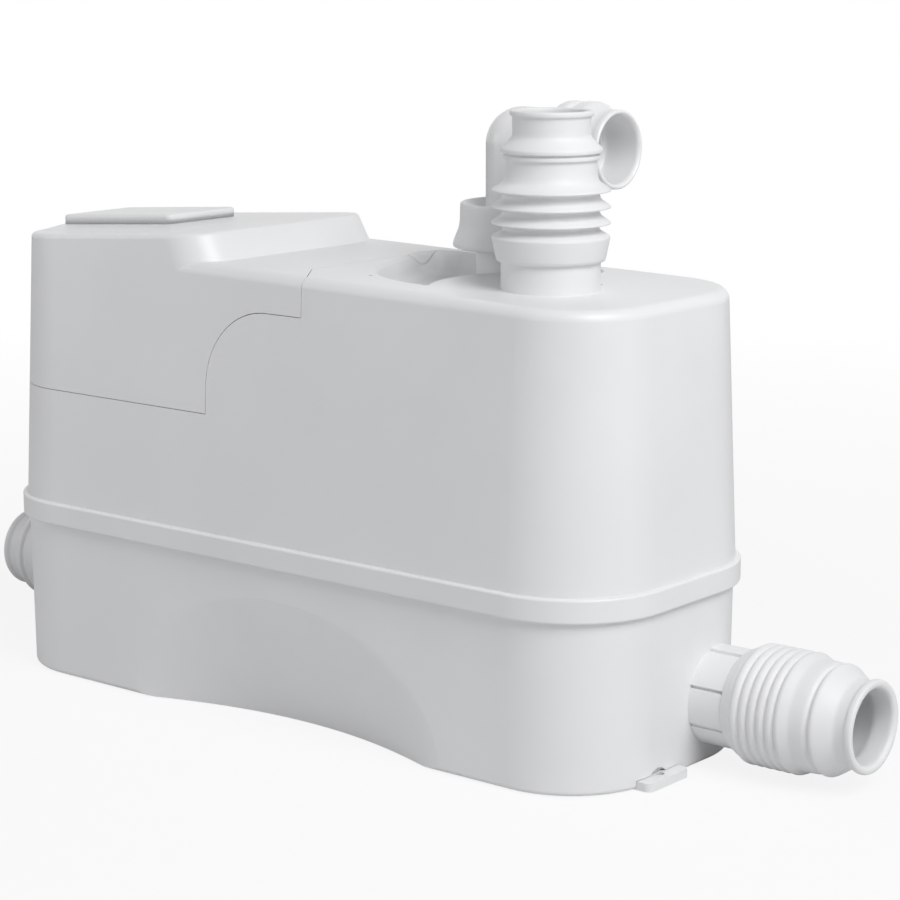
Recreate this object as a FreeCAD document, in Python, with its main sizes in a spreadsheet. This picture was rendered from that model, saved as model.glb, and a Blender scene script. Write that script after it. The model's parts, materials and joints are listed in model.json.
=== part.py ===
import FreeCAD, Part
import math
import os
import re

# Waste water lifting station, in millimetres.
# X runs along the housing, Y from the front face to the back, Z up. The origin is the centre of the base.

doc = FreeCAD.newDocument("LiftingStation")
sheet = doc.addObject("Spreadsheet::Sheet", "Sizes")

sizes = {
    # Housing
    "rimLength": 400.0, "rimDepth": 152.0, "rimCorner": 50.0, "rimBottom": 81.5, "rimTop": 93.0,
    "rimRound": 1.2,
    "wall": 3.0, "floorPlate": 6.0, "tankInset": 3.4, "tankDraft": 1.0, "footRound": 2.5,
    "lipHeight": 5.5, "lipGap": 0.4, "lipWall": 2.6, "gasketHeight": 2.5,
    "lidInset": 2.6, "draftAngle": 2.5, "deckHeight": 223.0, "deckSlope": 1.03, "deckRound": 5.5,
    # Recess between the two front feet of the tank
    "coveCentre": 8.0, "coveHalf": 95.0, "coveHeight": 65.5, "coveDepth": 20.0, "coveSoft": 0.12,
    # Service cover, its seam and its raised block
    "seamHeight": 152.0, "seamX": -40.0, "seamRound": 39.0, "seamRise": 53.0, "seamTopX": 22.0,
    "seamBackX": 5.0, "seamGap": 0.35, "ledgeReach": 5.0, "ledgeWall": 2.0, "seatGap": 0.3,
    "blockHeight": 238.9, "blockEdge": -50.0, "blockSlope": 4.0, "stepRun": 6.5, "stepCorner": 20.0,
    "blockRound": 2.5,
    # Vent cap, the pad that carries it and the filter below
    "capLeft": -175.5, "capFront": -37.0, "capLength": 79.5, "capDepth": 49.0, "capThick": 5.0,
    "capRound": 3.0, "padHeight": 2.4, "padMargin": 13.0, "filterHeight": 14.0, "filterMargin": 9.0,
    # Recess in the lid round the discharge, and the raised pad of the top inlet
    "scoopX": 75.0, "scoopY": 13.0, "scoopRadius": 58.0, "scoopAngle": 21.0, "scoopBack": 57.0,
    "scoopRight": 114.0, "scoopDepth": 12.0, "scoopLean": 6.0, "scoopRound": 9.0, "scoopCorner": 16.0,
    "scoopRim": 1.6, "inletPad": 53.0, "dotRadius": 1.2, "leftDotX": 41.0, "leftDotY": -40.0,
    "rightDotX": 137.0, "rightDotY": 13.0,
    # Side inlets
    "inletY": 28.0, "inletZ": 31.5, "collarRadius": 23.7, "collarBore": 20.7, "collarEnd": 232.0,
    "collarInner": 180.0, "slotWidth": 1.6, "sleeveStart": 214.0, "sleeveEnd": 281.5, "sleeveMouth": 17.6,
    "bandRadius": 28.7, "stepRadius": 26.3, "ringRadius": 22.0, "neckRadius": 20.7, "ribLead": 9.0,
    "ribPitch": 4.75, "ribDepth": 1.4, "fitGap": 0.3, "flapRadius": 22.0, "flapThick": 2.5,
    "flapHinge": 25.5, "pinRadius": 1.5, "runGap": 0.05,
    # Top inlet
    "topX": 129.0, "topY": -15.0, "topBase": 23.0, "topTube": 20.4, "topBore": 18.0, "topTubeEnd": 262.0,
    "cuffStart": 235.4, "cuffTop": 246.6, "cuffRadius": 25.2, "cuffRim": 27.2, "topRib": 27.6,
    "topValley": 22.2, "topBody": 20.9, "topRing": 23.35, "topNeck": 18.0, "topLip": 19.1,
    "topLength": 56.6,
    "topMouth": 15.6, "dropRadius": 20.4, "dropBore": 18.0, "dropEnd": 60.0,
    # Discharge
    "riserX": 74.0, "riserY": 35.0, "spigotRadius": 22.5, "spigotBore": 20.0, "spigotTop": 240.0,
    "bootStart": 234.0, "bootTop": 255.0, "bootFlare": 34.0, "bootRadius": 30.5, "elbowRadius": 18.0,
    "elbowBore": 14.5, "elbowStart": 248.0, "armRise": 28.0, "armLength": 57.5, "armCollar": 22.0,
    "socketRadius": 16.2, "socketDepth": 20.0, "valveHeight": 214.5, "valveBore": 13.0, "valveFlap": 14.6,
    "pipeRadius": 14.0, "pipeBore": 11.0, "pipeBend": 20.0, "pipeTop": 208.0,
    # Pump and motor
    "motorX": -90.0, "motorY": 4.0, "pumpBottom": 12.0, "suctionPlate": 5.0, "pumpRadius": 45.0,
    "pumpCavity": 39.0, "pumpTop": 52.0, "pumpRoof": 8.0, "eyeRadius": 14.0, "outletZ": 34.0,
    "impellerRadius": 35.0, "shaftRadius": 5.0, "sealRadius": 9.0, "canRadius": 46.0, "canWall": 3.0,
    "canTop": 188.0, "flangeRadius": 58.0, "flangeThick": 5.0, "bearingRadius": 13.0, "bearingWidth": 9.0,
    "statorBore": 26.0, "rotorGap": 0.5, "coreBottom": 88.0, "coreHeight": 62.0,
    # Partition plate with its bosses and screws
    "deckBottom": 78.0, "deckPlate": 4.0, "plateGap": 0.6, "bossRadius": 6.0, "screwRadius": 2.0,
    "screwHead": 3.8, "screwLength": 16.0,
    # Level switch
    "switchX": 20.0, "switchY": -26.0, "tubeRadius": 15.0, "tubeBore": 13.0, "tubeEnd": 14.0,
    "cupRadius": 24.0, "cupHeight": 14.0, "chamber": 20.0, "capHeight": 7.0, "plungerRadius": 4.0,
    "plungerTravel": 1.5, "leverArm": 14.0,
    # Electrics
    "trayLength": 68.0, "trayDepth": 46.0, "trayX": 6.0, "trayY": 28.0, "trayThick": 4.0,
    "canisterRadius": 17.0, "canisterHeight": 52.0, "glandX": 20.0, "glandZ": 125.0, "glandRadius": 6.0,
    # Floor brackets
    "lugY": -18.5, "lugWidth": 32.0, "lugThick": 4.0, "lugReach": 202.5, "lugInner": 178.0, "lugHole": 2.25,
    "lugHoleX": 196.5, "lugRound": 3.5, "lugArch": 8.5,
}

for row, (alias, value) in enumerate(sizes.items(), start=1):
    sheet.set(f"A{row}", alias)
    sheet.set(f"B{row}", repr(value))
    sheet.setAlias(f"B{row}", alias)
doc.recompute()


def cell(alias):
    return float(sheet.get(alias))


def bound(text):
    # Sheet reference for every size named in a formula
    def swap(word):
        return "Sizes." + word.group(0) if word.group(0) in sizes else word.group(0)
    return re.sub(r"[A-Za-z]+", swap, str(text))


def bind(item, **formulas):
    for key, text in formulas.items():
        item.setExpression(key, bound(text))


TURNS = {
    "z": FreeCAD.Rotation(),
    "x": FreeCAD.Rotation(FreeCAD.Vector(0, 1, 0), 90),
    "left": FreeCAD.Rotation(FreeCAD.Vector(0, 1, 0), -90),
    "y": FreeCAD.Rotation(FreeCAD.Vector(1, 0, 0), -90),
    "down": FreeCAD.Rotation(FreeCAD.Vector(1, 0, 0), 180),
}


def place(item, at, axis="z"):
    item.Placement = FreeCAD.Placement(FreeCAD.Vector(), TURNS[axis])
    for letter, text in zip("xyz", at):
        item.setExpression(f"Placement.Base.{letter}", bound(text))
    return item


def box(name, low, lengths):
    item = doc.addObject("Part::Box", name)
    bind(item, Length=lengths[0], Width=lengths[1], Height=lengths[2])
    return place(item, low)


def rod(name, radius, height, at, axis="z"):
    item = doc.addObject("Part::Cylinder", name)
    bind(item, Radius=radius, Height=height)
    return place(item, at, axis)


def taper(name, radius, radiusEnd, height, at, axis="z"):
    item = doc.addObject("Part::Cone", name)
    bind(item, Radius1=radius, Radius2=radiusEnd, Height=height)
    return place(item, at, axis)


def ball(name, radius, at):
    item = doc.addObject("Part::Sphere", name)
    bind(item, Radius=radius)
    return place(item, at)


def join(name, *items):
    item = doc.addObject("Part::MultiFuse", name)
    item.Shapes = list(items)
    return item


def minus(name, base, *tools):
    item = doc.addObject("Part::Cut", name)
    item.Base = base
    item.Tool = tools[0] if len(tools) == 1 else join(name + "Tools", *tools)
    return item


def tube(name, radius, bore, height, at, axis="z"):
    return minus(name, rod(name + "Outside", radius, height, at, axis),
                 rod(name + "Bore", bore, height, at, axis))


def ruled(name, stations, origin, axis):
    # Ruled loft through circles: each station is a distance along the axis and a radius
    circles = []
    for index, (distance, radius) in enumerate(stations):
        circle = doc.addObject("Part::Circle", f"{name}Circle{index}")
        bind(circle, Radius=radius)
        shift = {"x": (f"{origin[0]} + {distance}", origin[1], origin[2]),
                 "left": (f"{origin[0]} - ({distance})", origin[1], origin[2]),
                 "z": (origin[0], origin[1], f"{origin[2]} + {distance}")}[axis]
        circles.append(place(circle, shift, axis))
    item = doc.addObject("Part::Loft", name)
    item.Sections = circles
    item.Solid = True
    item.Ruled = True
    return item


def feature(name, shape):
    item = doc.addObject("Part::Feature", name)
    item.Shape = shape
    return item


def vector(x, y, z):
    return FreeCAD.Vector(x, y, z)


def roundedLoop(halfLength, halfDepth, corner, height):
    # Closed wire: a rectangle with round corners at one height
    edges = []
    bend = corner * math.sqrt(0.5)
    centres = [(1, -1), (1, 1), (-1, 1), (-1, -1)]
    for index, (right, back) in enumerate(centres):
        cx = right * (halfLength - corner)
        cy = back * (halfDepth - corner)
        ends = [vector(cx, cy + back * corner, height), vector(cx + right * corner, cy, height)]
        start, end = ends if right * back < 0 else ends[::-1]
        middle = vector(cx + right * bend, cy + back * bend, height)
        edges.append(Part.Arc(start, middle, end).toShape())
        nextRight, nextBack = centres[(index + 1) % 4]
        nx = nextRight * (halfLength - corner)
        ny = nextBack * (halfDepth - corner)
        nextEnds = [vector(nx, ny + nextBack * corner, height), vector(nx + nextRight * corner, ny, height)]
        nextStart = nextEnds[0] if nextRight * nextBack < 0 else nextEnds[1]
        edges.append(Part.LineSegment(end, nextStart).toShape())
    return Part.Wire(edges)


def shell(low, high, sizesLow, sizesHigh):
    # Solid between two rounded rectangles
    return Part.makeLoft([roundedLoop(*sizesLow, low), roundedLoop(*sizesHigh, high)], True, True)


def prism(points, direction):
    # Straight prism on a closed outline of points and arcs
    edges = []
    for start, end in zip(points, points[1:] + points[:1]):
        if len(end) == 4:
            edges.append(Part.Arc(start[0], end[3], end[0]).toShape())
        else:
            edges.append(Part.LineSegment(start[0], end[0]).toShape())
    return Part.Face(Part.Wire(edges)).extrude(direction)


# Outline sizes shared by the tank, the lid and the service cover
halfLength = cell("rimLength") / 2
halfDepth = cell("rimDepth") / 2
rimCorner = cell("rimCorner")
rimBottom = cell("rimBottom")
rimTop = cell("rimTop")
wall = cell("wall")
loftTop = cell("blockHeight") + 20
slope = math.tan(math.radians(cell("draftAngle")))


def inset(amount):
    return (halfLength - amount, halfDepth - amount, rimCorner - amount)


def tankLoft(amount, low, high):
    # The tank's drafted outline, drawn in by an amount
    def at(height):
        return inset(cell("tankInset") + amount + cell("tankDraft") * (rimBottom - height) / rimBottom)
    return shell(low, high, at(low), at(high))


def coveCutter(grow):
    # Recess between the front feet: an arch with soft sides that gets shallower with height
    reach = 3.0
    centre = cell("coveCentre")
    flank = [1.25, 1.12, 1.05, 1.0, 0.95, 0.88, 0.76, 0.5]
    spread = [-u for u in flank] + [0] + flank[::-1]
    wires = []
    for share in (0, 0.2, 0.4, 0.6, 0.78, 0.9, 0.96, 0.99):
        half = cell("coveHalf") * math.sqrt(1 - share * share)
        depth = cell("coveDepth") * (1 - share) ** 1.2
        blend = cell("coveSoft") * depth
        lean = cell("tankDraft") * (1 - cell("coveHeight") * share / rimBottom)
        face = cell("tankInset") + lean - halfDepth
        height = -2 if share == 0 else cell("coveHeight") * share
        points = []
        for u in spread:
            dip = depth * (1 - u * u)
            dip = 0.5 * (dip + math.sqrt(dip * dip + blend * blend)) - 0.2 * blend
            points.append(vector(centre + (half + grow) * u, face + dip + grow, height))
        curve = Part.BSplineCurve()
        curve.interpolate(points)
        corners = [points[-1], vector(points[-1].x, face - reach, height),
                   vector(points[0].x, face - reach, height), points[0]]
        sides = [Part.LineSegment(start, end).toShape() for start, end in zip(corners, corners[1:])]
        wires.append(Part.Wire([curve.toShape(), *sides]))
    return Part.makeLoft(wires, True, False)


# Tank
lipTop = rimBottom + cell("lipHeight")
lipInset = cell("tankInset") + cell("lipGap")
tankOutside = feature("TankOutside", tankLoft(0, 0, rimBottom))
tankCove = feature("TankCove", coveCutter(0))


def rounded(name, base, radius, wanted):
    # Fillet on the edges that a test picks
    doc.recompute()
    item = doc.addObject("Part::Fillet", name)
    item.Base = base
    item.Edges = [(number, cell(radius), cell(radius))
                  for number, edge in enumerate(base.Shape.Edges, start=1) if wanted(edge)]
    return item


tankFoot = rounded("TankFoot", tankOutside, "footRound", lambda edge: edge.BoundBox.ZMax < 0.01)
tankShape = minus("TankCoved", tankFoot, tankCove)
tankLip = feature("TankLip", shell(rimBottom - 4, lipTop, inset(lipInset), inset(lipInset)))
tankCavity = feature("TankCavity", shell(cell("floorPlate"), lipTop + 1,
                                         inset(cell("tankInset") + wall + 1.4),
                                         inset(lipInset + cell("lipWall"))))
tankCavityFront = feature("TankCavityFront", coveCutter(wall))
tankHollow = minus("TankHollow", tankCavity, tankCavityFront)
tankBody = minus("TankBody", join("TankWithLip", tankShape, tankLip), tankHollow)

BOSSES = [("30 - rimLength / 2", "46 - rimDepth / 2"), ("rimLength / 2 - 30", "46 - rimDepth / 2"),
          ("-20", "rimDepth / 2 - 16"), ("120", "rimDepth / 2 - 16")]
tankParts = [tankBody]
tankBores = []
for index, (bx, by) in enumerate(BOSSES):
    tankParts.append(rod(f"Boss{index}", "bossRadius", "deckBottom - floorPlate + 1",
                         (bx, by, "floorPlate - 1")))
    tankBores.append(rod(f"BossBore{index}", "screwRadius", "screwLength",
                         (bx, by, "deckBottom - screwLength + 1")))

SIDES = {"left": -1, "right": 1}
SLOTS = [(-0.93, 0.36), (-0.93, -0.42), (-0.30, 0.95), (0.93, 0.36), (0.93, -0.42)]
for side, sign in SIDES.items():
    axis = "x" if sign > 0 else "left"
    start = f"{sign} * collarInner"
    title = side.capitalize()
    tankParts.append(rod(f"{title}Collar", "collarRadius", "collarEnd - collarInner",
                         (start, "inletY", "inletZ"), axis))
    tankBores.append(rod(f"{title}CollarBore", "collarBore", "collarEnd - collarInner + 2",
                         (f"{sign} * (collarInner - 1)", "inletY", "inletZ"), axis))
    for ear, offset in (("Front", "-13"), ("Back", "10")):
        tankParts.append(box(f"{title}{ear}Ear",
                             (f"{sign} * (collarInner - 2.5) - 4.5", f"inletY + {offset}", "inletZ + 20.2"),
                             ("9", "3", "flapHinge - 20.2 + 3.5")))
    tankBores.append(rod(f"{title}PinBore", "pinRadius", "30",
                         (f"{sign} * (collarInner - 4.5)", "inletY - 15", "inletZ + flapHinge"), "y"))
    # Slots in the collar, from the wall to the sleeve
    for turn, (dy, dz) in enumerate(SLOTS):
        slotLow = (f"{sign} * 205.5 - 9.5", f"inletY + collarRadius * {dy} - slotWidth",
                   f"inletZ + collarRadius * {dz} - slotWidth / 2")
        tankBores.append(box(f"{title}Slot{turn}", slotLow, ("19", "2 * slotWidth", "slotWidth")))
    # Pocket for the floor bracket, with an arched top in the end wall
    pocketX = "lugInner - fitGap" if sign > 0 else "-lugReach"
    tankBores.append(box(f"{title}LugPocket",
                         (pocketX, "lugY - lugWidth / 2 - fitGap", "-1"),
                         ("lugReach - lugInner + fitGap", "lugWidth + 2 * fitGap", "lugThick + fitGap + 1")))
    tankBores.append(rod(f"{title}LugArch", "lugArch", "8", (f"{sign} * 193.8", "lugY", "-1.8"), axis))
tank = minus("Tank", join("TankWhole", *tankParts), *tankBores)

# Gasket between the tank's lip and the lid
gasketLow = lipTop
gasketHigh = gasketLow + cell("gasketHeight")
gasketOutside = inset(lipInset + 0.2)
gasketInside = inset(lipInset + cell("lipWall") - 0.2)
gasket = feature("RimGasket", shell(gasketLow, gasketHigh, gasketOutside, gasketOutside).cut(
    shell(gasketLow - 1, gasketHigh + 1, gasketInside, gasketInside)))


def lidLoft(amount, low):
    # The lid's drafted outline above the rim, drawn in by an amount
    def at(height):
        return inset(cell("lidInset") + amount + (height - rimTop) * slope)
    return shell(low, loftTop, at(low), at(loftTop))


def below(height, angle, x, drop):
    # Large block under a plane that tilts about the Y axis through one point
    block = Part.makeBox(900, 600, 400, vector(-450, -300, -400 - drop))
    block.rotate(vector(0, 0, 0), vector(0, 1, 0), angle)
    block.translate(vector(x, 0, height))
    return block


def deckSolid(amount, low):
    # Lid outline under the deck plane
    return lidLoft(amount, low).common(
        below(cell("deckHeight") + cell("deckSlope") * 1.4, cell("deckSlope"), 0, amount))


def blockSolid(amount, low):
    # Raised block over the left half, with a sloping top and a steep right face
    edge = cell("blockEdge") - amount
    run = cell("stepRun")
    height = cell("blockHeight")
    left = -halfLength - 10
    outline = [(vector(left, -200, low),), (vector(edge + run * (height - low) / 11.5, -200, low),),
               (vector(edge, -200, height + 1),), (vector(edge - run, -200, height + 12.5),),
               (vector(left, -200, height + 12.5),)]
    front = prism(outline, vector(0, 400, 0))
    block = lidLoft(amount, low).common(front).common(below(height, -cell("blockSlope"), cell("blockEdge"),
                                                            amount))
    corners = [item for item in block.Edges if item.BoundBox.ZLength > (height - low) / 2
               and edge - 40 < item.BoundBox.XMax < halfLength - rimCorner and item.BoundBox.XMin > edge - 40]
    return block.makeFillet(cell("stepCorner") - amount, corners)


def softCorner(before, corner, after, radius):
    # Ends and middle of the arc that rounds a corner between two lines
    back = (before - corner).normalize()
    ahead = (after - corner).normalize()
    half = back.getAngle(ahead) / 2
    inward = (back + ahead).normalize()
    reach = radius / math.tan(half)
    return (corner + back * reach, corner + inward * (radius / math.sin(half) - radius),
            corner + ahead * reach)


def scoopOutline(grow, height):
    # Outline of the recess round the discharge: a round front corner, a slanting left side, soft back corners
    radius = cell("scoopRadius") + grow
    angle = math.radians(cell("scoopAngle"))
    back = cell("scoopBack") + grow
    right = cell("scoopRight") + grow
    centre = vector(cell("scoopX"), cell("scoopY"), height)
    start = centre + vector(-math.cos(angle), -math.sin(angle), 0) * radius
    turn = angle / 2 + math.pi / 4
    middle = centre + vector(-math.cos(turn), -math.sin(turn), 0) * radius
    end = centre + vector(0, -radius, 0)
    near = vector(right, end.y, height)
    far = vector(right, back, height)
    left = vector(start.x - (back - start.y) * math.tan(angle), back, height)
    soft = cell("scoopCorner") + grow
    farArc = softCorner(near, far, left, soft)
    leftArc = softCorner(far, left, start, soft)
    return Part.Wire([
        Part.Arc(start, middle, end).toShape(), Part.LineSegment(end, near).toShape(),
        Part.LineSegment(near, farArc[0]).toShape(), Part.Arc(*farArc).toShape(),
        Part.LineSegment(farArc[2], leftArc[0]).toShape(), Part.Arc(*leftArc).toShape(),
        Part.LineSegment(leftArc[2], start).toShape()])


def scoopCutter(grow):
    # Recess round the discharge: a dish that stops short of the top inlet
    depth = cell("scoopDepth") + grow
    lean = cell("scoopLean")
    rim = cell("scoopRim")
    dish = Part.makeLoft([scoopOutline(grow - lean, -depth), scoopOutline(grow + lean, depth)], True, True)
    floorEdges = [item for item in dish.Edges if item.BoundBox.ZMax < -depth + 0.01]
    dish = dish.makeFillet(cell("scoopRound") + grow / 2, floorEdges)
    rimCut = Part.makeLoft([scoopOutline(grow - rim / 2, -rim), scoopOutline(grow + 2 * rim, rim * 1.5)],
                           True, True)
    pad = Part.makeCone(cell("inletPad") - grow + 5, cell("inletPad") - grow, 30 + depth,
                        vector(cell("topX"), cell("topY"), -depth))
    cutter = dish.fuse(rimCut).cut(pad)
    cutter.rotate(vector(0, 0, 0), vector(0, 1, 0), cell("deckSlope"))
    cutter.translate(vector(0, 0, cell("deckHeight") + cell("deckSlope") * 1.4))
    return cutter


def seamRegion(grow):
    # Space of the service cover: an outline seen from the front, and one seen from above
    far = halfLength + 60
    low = cell("seamHeight") - grow
    edge = cell("seamX") + grow
    radius = cell("seamRound") - grow
    centreX = cell("seamX") + cell("seamRound")
    archZ = cell("seamHeight") + cell("seamRise")
    centreZ = archZ - cell("seamRound")
    right = cell("seamTopX") + grow
    bend = radius * math.sqrt(0.5)
    outline = [(vector(-far, -200, low),), (vector(edge, -200, low),), (vector(edge, -200, centreZ),),
               (vector(centreX, -200, archZ - grow), 0, 0, vector(centreX - bend, -200, centreZ + bend)),
               (vector(right, -200, archZ - grow),), (vector(right, -200, 330),), (vector(-far, -200, 330),)]
    front = prism(outline, vector(0, 400, 0))
    back = cell("seamBackX") + grow
    plan = [(vector(-far, -200, 0),), (vector(right, -200, 0),), (vector(right, -64 + grow, 0),),
            (vector(back + 2, -44 + grow, 0),), (vector(back - 1, 200, 0),), (vector(-far, 200, 0),)]
    above = prism(plan, vector(0, 0, 330))
    return front.common(above)


# Outer skin of the lid and the service cover, and the space inside it
skinLow = lipTop + cell("gasketHeight")
deckOutside = deckSolid(0, rimTop)
deckRim = [edge for edge in deckOutside.Edges if edge.BoundBox.ZMin > rimTop + 100]
deckOutside = deckOutside.makeFillet(cell("deckRound"), deckRim)
blockOutside = blockSolid(0, cell("seamHeight") - 10)
blockRim = [edge for edge in blockOutside.Edges if edge.BoundBox.ZMin > cell("blockHeight") - 16]
blockOutside = blockOutside.makeFillet(cell("blockRound"), blockRim)

tilt = math.radians(cell("blockSlope"))


def blockTop(x):
    return cell("blockHeight") + (x - cell("blockEdge")) * math.tan(tilt)


def slantLoop(low, high, depthLow, depthHigh, lift):
    # Rectangle lying on the block's sloping top, raised by a lift
    corners = [(low, depthLow), (high, depthLow), (high, depthHigh), (low, depthHigh), (low, depthLow)]
    return Part.makePolygon([vector(x, y, blockTop(x) + lift) for x, y in corners])


capLeft = cell("capLeft")
capRight = capLeft + cell("capLength")
capFront = cell("capFront")
capBack = capFront + cell("capDepth")
margin = cell("padMargin")
lift = cell("padHeight")


def padSolid(drop, shrink):
    # Low hipped pad that carries the vent cap
    low = slantLoop(capLeft - 5 + shrink, capRight + 1.8 * margin - shrink, capFront - 1.6 * margin + shrink,
                    capBack + margin - shrink, -1 - drop)
    high = slantLoop(capLeft + shrink, capRight - shrink, capFront + shrink, capBack - shrink, lift - drop)
    return Part.makeLoft([low, high], True, True).common(lidLoft(cell("blockRound") + drop, rimTop))


skinOutside = deckOutside.fuse(blockOutside).fuse(padSolid(0, 0)).removeSplitter()
scoopOutside = scoopCutter(0)
blockInside = blockSolid(wall, cell("seamHeight") - 10)
skinInside = deckSolid(wall, skinLow - 1).fuse(blockInside).fuse(padSolid(wall, 2))
cavity = skinInside.cut(scoopCutter(wall))
skin = skinOutside.cut(scoopOutside).cut(cavity)

filterLeft = capLeft + cell("filterMargin")
filterRight = capRight - cell("filterMargin")
filterFront = capFront + cell("filterMargin")
filterBack = capBack - cell("filterMargin")


def pocketSolid(grow, low, high):
    # Slanted block under the vent cap, for the filter and its pocket
    ends = (filterLeft - grow, filterRight + grow, filterFront - grow, filterBack + grow)
    return Part.makeLoft([slantLoop(*ends, low), slantLoop(*ends, high)], True, True)


# Service cover: the skin inside the seam, with the filter pocket under the vent cap
filterHeight = cell("filterHeight")
coverSkin = skin.common(seamRegion(0))
pocketWall = pocketSolid(2.5, lift - filterHeight - 2, lift - 0.5)
pocketSpace = pocketSolid(cell("seatGap"), lift - filterHeight, lift + 5)
coverShape = coverSkin.fuse(pocketWall).cut(pocketSpace)
vents = [Part.makeCylinder(2.2, 12, vector(filterLeft + 9 + 13 * i, filterFront + 8 + 14 * j,
                                           blockTop(filterLeft) + lift - filterHeight - 6))
         for i in range(4) for j in range(2)]
serviceCover = feature("ServiceCover", coverShape.cut(Part.makeCompound(vents)).removeSplitter())

# Lid: the rest of the skin, its rim, and the ledge behind the seam
gap = cell("seamGap")
reach = cell("ledgeReach")
seat = cell("seatGap")
rimRound = cell("rimRound")
rimBand = shell(rimBottom, rimTop, inset(0), inset(0))
rimBand = rimBand.makeFillet(rimRound, [edge for edge in rimBand.Edges if edge.BoundBox.ZLength < 0.01]).cut(
    shell(rimBottom - 1, skinLow, inset(cell("tankInset")), inset(cell("tankInset")))).cut(
    shell(skinLow - 1, rimTop + 1, inset(lipInset + cell("lipWall")), inset(lipInset + cell("lipWall"))))
lidSkin = skin.cut(seamRegion(gap))


def layer(outer, inner):
    # Thin layer just inside the skin
    def solid(amount):
        block = blockSolid(amount, cell("seamHeight") - 10)
        return deckSolid(amount, rimTop + 30).fuse(block).cut(scoopCutter(amount))
    return solid(outer).cut(solid(inner))


ledgeInner = wall + seat + cell("ledgeWall")
seatLayer = layer(wall + seat, ledgeInner).common(seamRegion(gap + reach).cut(seamRegion(-reach)))
rootLayer = layer(wall - 0.6, ledgeInner).common(seamRegion(gap + reach).cut(seamRegion(gap)))
lidShape = lidSkin.fuse(rimBand).fuse(seatLayer).fuse(rootLayer)


def upright(radius, low, high, x, y):
    return Part.makeCylinder(radius, high - low, vector(x, y, low))


topX = cell("topX")
topY = cell("topY")
riserX = cell("riserX")
riserY = cell("riserY")
topDeck = cell("deckHeight") - topX * math.tan(math.radians(cell("deckSlope")))
scoopFloor = topDeck - cell("scoopDepth")
lidShape = lidShape.fuse([
    upright(cell("topBase"), topDeck - 5, cell("cuffStart"), topX, topY),
    upright(cell("topTube"), topDeck - 5, cell("topTubeEnd"), topX, topY),
    upright(cell("dropRadius") + 3.2, topDeck - 20, topDeck - 1, topX, topY),
    upright(cell("spigotRadius"), scoopFloor - 12, cell("spigotTop"), riserX, riserY)])
lidShape = lidShape.cut(Part.makeCompound([
    upright(cell("topBore"), topDeck - 30, cell("topTubeEnd") + 1, topX, topY),
    upright(cell("dropRadius") + seat, topDeck - 30, topDeck - 6, topX, topY)]))
lidShape = lidShape.cut(Part.makeCompound([
    upright(cell("spigotBore"), cell("valveHeight"), cell("spigotTop") + 1, riserX, riserY),
    upright(cell("pipeRadius") + 3, scoopFloor - 30, cell("valveHeight") + 0.01, riserX, riserY)]))
lidShape = lidShape.cut(Part.makeCompound([
    upright(cell("dotRadius"), topDeck - 2, topDeck + 20, cell("leftDotX"), cell("leftDotY")),
    upright(cell("dotRadius"), topDeck - 2, topDeck + 20, cell("rightDotX"), cell("rightDotY"))]))
glandBack = halfDepth - cell("lidInset") - (cell("glandZ") - rimTop) * slope
glandFront = vector(cell("glandX"), glandBack - 10, cell("glandZ"))
lidShape = lidShape.cut(Part.makeCylinder(cell("glandRadius") + cell("runGap"), 20, glandFront,
                                          vector(0, 1, 0)))
lid = feature("Lid", lidShape.removeSplitter())

# Vent cap and the filter below it
capEnds = (capLeft, capRight, capFront, capBack)
capBlank = Part.makeLoft([slantLoop(*capEnds, lift + 0.02), slantLoop(*capEnds, lift + cell("capThick"))],
                         True, True)
capCorners = [edge for edge in capBlank.Edges if edge.BoundBox.ZLength > cell("capThick") - 0.3
              and edge.BoundBox.XLength < 0.5 and edge.BoundBox.YLength < 0.5]
capShape = capBlank.makeFillet(cell("capRound"), capCorners)
capUpper = [edge for edge in capShape.Edges
            if min(end.Z - blockTop(end.X) for end in edge.Vertexes) > lift + cell("capThick") - 0.2]
capShape = capShape.makeChamfer(1.0, capUpper)
capPlug = pocketSolid(-0.4, lift - 3, lift + 0.5)
ventCap = feature("VentCap", capShape.fuse(capPlug).removeSplitter())
charcoalFilter = feature("CharcoalFilter", pocketSolid(-0.4, lift - filterHeight + 0.02, lift - 3.02))

# Side inlet sleeves: flare, ribs, shoulder, smooth band, step and mouth ring
RIBS = 5
lastRib = f"sleeveStart + ribLead + {RIBS - 1} * ribPitch"


def past(share):
    # Distance at a share of the way from the last rib to the sleeve's mouth
    return f"{lastRib} + {share} * (sleeveEnd - ({lastRib}))"


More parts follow.
